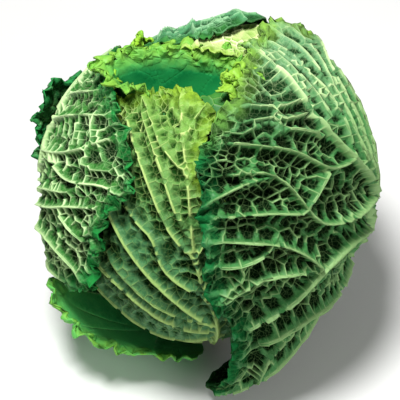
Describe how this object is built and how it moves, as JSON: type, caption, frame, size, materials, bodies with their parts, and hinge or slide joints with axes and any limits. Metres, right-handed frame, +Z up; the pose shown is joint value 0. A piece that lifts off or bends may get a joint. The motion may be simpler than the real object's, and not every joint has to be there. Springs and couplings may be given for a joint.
{
  "type": "savoy cabbage",
  "caption": "Whole savoy cabbage head with blistered, veined leaves and a hollow crown, standing on its cut stem.",
  "frame": {"origin": "centre of the cut face of the stem, which the head stands on", "axes": "+Z up from the stem to the crown, -Y towards the pale front leaf, +X towards the large right leaf"},
  "size_m": [0.1904, 0.1925, 0.1868],
  "materials": {
    "stem": "matt, fibrous cut stalk",
    "heart_leaf": "smooth satin inner leaf",
    "pale_leaf": "satin leaf, blistered, pale veins",
    "mid_leaf": "satin leaf, blistered, white-green veins",
    "dark_leaf": "waxy satin leaf, blistered, pale veins",
    "bright_leaf": "satin leaf, smooth inner face"
  },
  "bodies": {
    "root": {"stem": "stem", "heart": "heart_leaf", "crown_leaf": "heart_leaf", "front_leaf": "pale_leaf", "back_leaf": "dark_leaf", "right_leaf": "dark_leaf", "left_leaf": "mid_leaf", "upper_left_leaf": "dark_leaf", "rear_right_leaf": "dark_leaf", "lower_left_leaf": "bright_leaf"}
  },
  "joints": []
}
